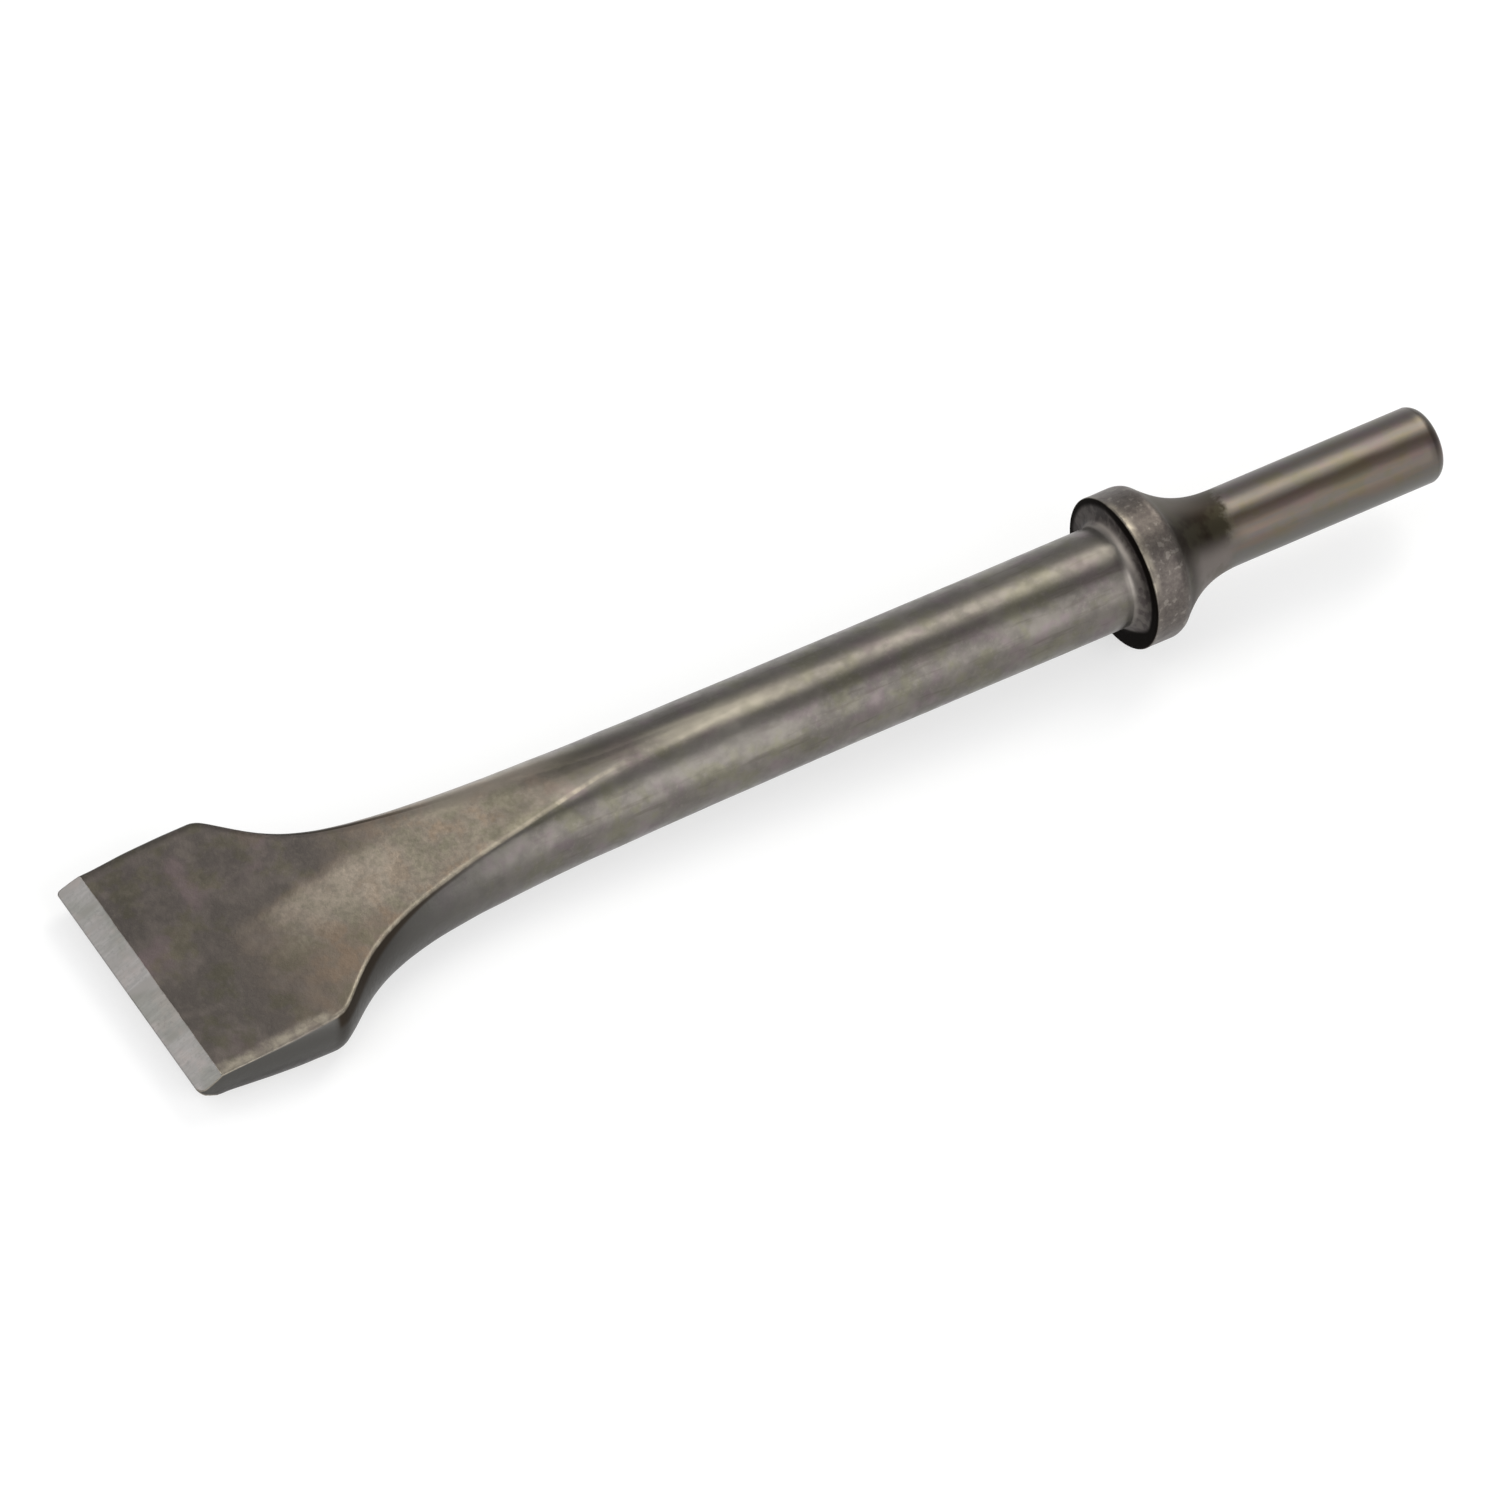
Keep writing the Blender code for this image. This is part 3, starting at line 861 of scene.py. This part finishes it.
def paint_collar_face(g, at, colour):
    """Scale in the corner between body and collar, with painted highlights at the fillet's start
    and top, painted shade on the face's far side, and black painted shadow on the outer part of the
    face.
    """
    face = COLLAR_FACE
    fillet = g.paint(FILLET_SCALE, FILLET_PIT, g.ramp(at.spot, 0.40, 0.60))
    # Painted highlight on the fillet's top
    top = g.product(g.ramp(at.z, 4.5, 6.5), g.ramp(at.x, face + 0.05, face - 0.6))
    fillet = g.paint(fillet, FILLET_TOP_HIGHLIGHT, top, 0.8)
    # Painted shade over dark scale on the far side of the face
    face_tone_and_shade = g.paint(FACE_SCALE_AND_SHADE, FACE_PIT, g.ramp(at.spot, 0.38, 0.58))
    fillet = g.paint(fillet, face_tone_and_shade, at.far_side, at.on_ring, 0.9)
    # Painted highlight where the fillet starts
    fillet_start_highlight = g.zone(at.x, face - 2.0, face - 1.2, face - 0.9, face - 0.4)
    colour = g.paint(colour, FILLET_START_HIGHLIGHT, fillet_start_highlight, 0.55)
    colour = g.paint(colour, fillet, at.fillet)
    # Black painted shadow on the outer part of the face
    return g.paint(colour, PAINTED_SHADOW_BLACK, at.sooty)


def worn_edges_and_rim_highlight(g, at):
    """Edges rubbed bright: wide on the blade, a thin line on the flare, and the rim's, painted
    brighter on its upper part as a highlight.
    """
    rubbed = g.blend(g.ramp(at.mottle, 0.62, 0.40), 0.45, 1.0)
    on_blade = g.ramp(at.x, SHOULDER_FROM_EDGE + 1.0, SHOULDER_FROM_EDGE - 1.0)
    wide_end = g.ramp(g.ragged(at.crest, at.mottle, 1.6), 1.8, 0.4)
    wide_line = g.product(g.ramp(at.crest, -0.45, 0.05), wide_end, on_blade, rubbed)
    wide_line = g.product(wide_line, g.blend(g.ramp(at.y, -5.0, 5.0), 1.0, 0.12))
    thin_line = g.product(g.zone(at.crest, -0.40, -0.12, 0.10, 0.50), g.ramp(at.x, 74.0, 58.0))
    thin_line = g.product(thin_line, rubbed, g.ramp(at.y, 0.5, -0.5), 0.9)
    face = COLLAR_FACE
    # The rim's rubbed edge, painted brighter on its upper part as a highlight
    rim_wear_and_highlight = g.product(
        g.zone(at.x, face + 0.05, face + 0.15, face + 0.3, face + 1.4),
        g.ramp(at.radial, 9.7, 9.9),
        g.blend(g.ramp(at.mottle, 0.58, 0.42), 0.4, 1.0),
        g.blend(g.product(g.ramp(at.z, 4.0, 8.5), g.ramp(at.y, 6.0, 2.0)), 0.10, 0.95),
    )
    return g.math("MAXIMUM", g.math("MAXIMUM", wide_line, thin_line), rim_wear_and_highlight)


def bevel_colour(g, at):
    """Bare steel of the ground bevels, with marks of the wheel across the edge."""
    bands = g.noise(g.scaled(at.place, (0.05, 1.0, 0.05)), 2.6, 2.0)
    bare = g.paint(BARE_STEEL, WHEEL_MARK, g.ramp(at.wheel, 0.35, 0.65))
    bare = g.paint(bare, BEVEL_PIT, g.ramp(at.pitting, 0.52, 0.66), 0.35)
    bare = g.paint(bare, BEVEL_BAND, g.ramp(bands, 0.45, 0.65))
    bare = g.tint(bare, BEVEL_DULL_TINT, g.ramp(at.blotch, 0.52, 0.62))
    return g.tint(bare, BEVEL_WARM_TINT, g.ramp(at.cloud, 0.50, 0.38))


def steel_colour(g, at):
    """All the colours, each laid over the ones before it."""
    colour = g.paint(bar_colour(g, at), rim_colour(g, at), at.on_collar)
    colour = g.paint(colour, taper_colour(g, at), at.in_taper)
    colour = g.paint(colour, shank_colour(g, at), at.on_shank)
    colour = paint_collar_face(g, at, colour)
    # Painted shade in the hollow under the flare's crest
    colour = g.paint(colour, HOLLOW_PAINTED_SHADE, at.hollow, 0.85)
    # Rubbed edges, and the painted highlight on the rim's upper edge
    colour = g.paint(colour, WORN_EDGE_AND_HIGHLIGHT, worn_edges_and_rim_highlight(g, at))
    return g.paint(colour, bevel_colour(g, at), at.ground)


def steel_roughness(g, at):
    """Smoother on the body and shank, duller on scale, on the painted shadow of the collar's face
    and on the ground bevels.
    """
    rough = g.blend(g.ramp(at.mottle, 0.35, 0.65), 0.30, 0.38)
    scaly = g.math("MAXIMUM", at.near_edge, at.on_collar)
    rough = g.blend(scaly, rough, g.blend(at.speckle, 0.34, 0.50))
    rough = g.blend(at.on_shank, rough, g.blend(at.streak, 0.30, 0.42))
    rough = g.blend(at.in_taper, rough, 0.55)
    rough = g.blend(at.fillet, rough, 0.55)
    rough = g.blend(at.hollow, rough, 0.6)
    rough = g.blend(at.sooty, rough, 0.9)
    return g.blend(at.ground, rough, g.blend(at.wheel, 0.36, 0.52))


def steel_relief(g, at):
    """Height of the fine relief in millimetres, too small to be in the mesh."""
    lumps = g.product(at.mottle, MOTTLE_HEIGHT)
    scale_relief = g.math("ADD", lumps, g.product(at.speckle, SPECKLE_HEIGHT))
    scaly = g.math("MAXIMUM", at.near_edge, at.on_collar)
    relief = g.product(scale_relief, g.blend(scaly, 0.22, g.blend(at.on_collar, 1.0, 0.6)))
    relief = g.math("ADD", relief, g.product(at.grain, GRAIN_HEIGHT))
    relief = g.blend(at.on_shank, relief, g.product(at.streak, STREAK_HEIGHT))
    return g.blend(at.ground, relief, g.product(at.wheel, WHEEL_HEIGHT))


def forged_steel():
    """One steel with the finishes that its making and use left on it, and with painted highlights,
    shade, shadow and reflection.
    """
    g = Graph("forged_steel")
    at = steel_fields(g)
    blade_zones(g, at)
    collar_zones(g, at)
    relief = {"Strength": 1.0, "Distance": MM, "Height": steel_relief(g, at)}
    g.feed(g.shader.inputs["Base Color"], steel_colour(g, at))
    g.feed(g.shader.inputs["Roughness"], steel_roughness(g, at))
    g.feed(g.shader.inputs["Normal"], g.node("ShaderNodeBump", {}, relief).outputs[0])
    g.shader.inputs["Metallic"].default_value = 1.0
    return g.material


# ---------------------------------------------------------------- stage


def make_floor():
    """A plain pale floor, large enough to fill a low view as well."""
    g = Graph("pale_floor")
    g.shader.inputs["Base Color"].default_value = (*[FLOOR_ALBEDO] * 3, 1.0)
    g.shader.inputs["Roughness"].default_value = FLOOR_ROUGHNESS
    g.shader.inputs["Emission Color"].default_value = (1.0, 1.0, 1.0, 1.0)
    g.shader.inputs["Emission Strength"].default_value = FLOOR_GLOW
    g.shader.inputs["Specular IOR Level"].default_value = FLOOR_GLOSS
    mesh = bpy.data.meshes.new("floor")
    corners = [(-FLOOR_HALF, -FLOOR_HALF, 0), (FLOOR_HALF, -FLOOR_HALF, 0)]
    corners += [(FLOOR_HALF, FLOOR_HALF, 0), (-FLOOR_HALF, FLOOR_HALF, 0)]
    mesh.from_pydata(corners, [], [(0, 1, 2, 3)])
    mesh.materials.append(g.material)
    floor = bpy.data.objects.new("floor", mesh)
    bpy.context.scene.collection.objects.link(floor)


def area_light(name, aim, direction, distance, size, radiance, colour=(1.0, 1.0, 1.0)):
    """A softbox of the given size and brightness, facing the aim point."""
    light = bpy.data.lights.new(name, "AREA")
    light.shape = "RECTANGLE"
    light.size, light.size_y = size
    light.energy = radiance * pi * size[0] * size[1]
    light.color = colour
    lamp = bpy.data.objects.new(name, light)
    bpy.context.scene.collection.objects.link(lamp)
    back = Vector(direction).normalized()
    lamp.location = Vector(aim) + back * distance
    lamp.rotation_mode = "QUATERNION"
    lamp.rotation_quaternion = back.to_track_quat("Z", "X")
    lamp.visible_camera = False


def make_lamps():
    """A warm box from above and behind, and wide ones from the front and from the left."""
    area_light(
        "top_softbox",
        LAMP_AIM,
        direction=(0.64, 0.43, 0.76),
        distance=0.9,
        size=(0.80, 0.40),
        radiance=3.5,
        colour=WARM_WHITE,
    )
    area_light(
        "front_softbox",
        LAMP_AIM,
        direction=(0.15, -0.82, 0.46),
        distance=0.9,
        size=(0.9, 0.62),
        radiance=2.1,
    )
    area_light(
        "left_softbox",
        LEFT_LAMP_AIM,
        direction=(-0.66, 0.15, 0.70),
        distance=1.2,
        size=(0.9, 0.9),
        radiance=1.86,
    )


def make_camera():
    """A long lens that looks at the middle of the tool, rolled a little."""
    camera = bpy.data.cameras.new("camera")
    camera.lens = VIEW_LENS
    camera.sensor_width = FILM_WIDTH
    camera.clip_end = CLIP_END
    eye = bpy.data.objects.new("camera", camera)
    bpy.context.scene.collection.objects.link(eye)
    flat = cos(VIEW_ELEVATION)
    back = Vector((sin(VIEW_AZIMUTH) * flat, -cos(VIEW_AZIMUTH) * flat, sin(VIEW_ELEVATION)))
    eye.location = VIEW_AIM + back * VIEW_DISTANCE
    aimed = (-back).to_track_quat("-Z", "Y").to_matrix().to_4x4()
    eye.rotation_euler = (aimed @ Matrix.Rotation(VIEW_ROLL, 4, "Z")).to_euler()
    bpy.context.scene.camera = eye


def make_world():
    """Soft pale surroundings, lighter where the camera sees them past the floor."""
    world = bpy.data.worlds.new("studio")
    world.use_nodes = True
    tree = world.node_tree
    sky = tree.nodes["Background"]
    sky.inputs["Color"].default_value = SKY_COLOUR
    place = tree.nodes.new("ShaderNodeTexCoord")
    split = tree.nodes.new("ShaderNodeSeparateXYZ")
    rise = tree.nodes.new("ShaderNodeMapRange")
    rise.interpolation_type = "SMOOTHSTEP"
    rise.inputs["From Max"].default_value = SKY_RISE
    rise.inputs["To Min"].default_value = HORIZON_GLOW
    rise.inputs["To Max"].default_value = ZENITH_GLOW
    path = tree.nodes.new("ShaderNodeLightPath")
    glow = tree.nodes.new("ShaderNodeMix")
    glow.inputs["B"].default_value = BACKDROP_GLOW
    tree.links.new(place.outputs["Generated"], split.inputs[0])
    tree.links.new(split.outputs["Z"], rise.inputs["Value"])
    tree.links.new(rise.outputs["Result"], glow.inputs["A"])
    tree.links.new(path.outputs["Is Camera Ray"], glow.inputs["Factor"])
    tree.links.new(glow.outputs["Result"], sky.inputs["Strength"])
    bpy.context.scene.world = world


make_camera()
make_world()
make_floor()
make_lamps()

chisel = make_chisel(forged_steel())
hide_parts("chisel")
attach(chisel, "root")

scene = bpy.context.scene
scene.view_settings.view_transform = "Standard"
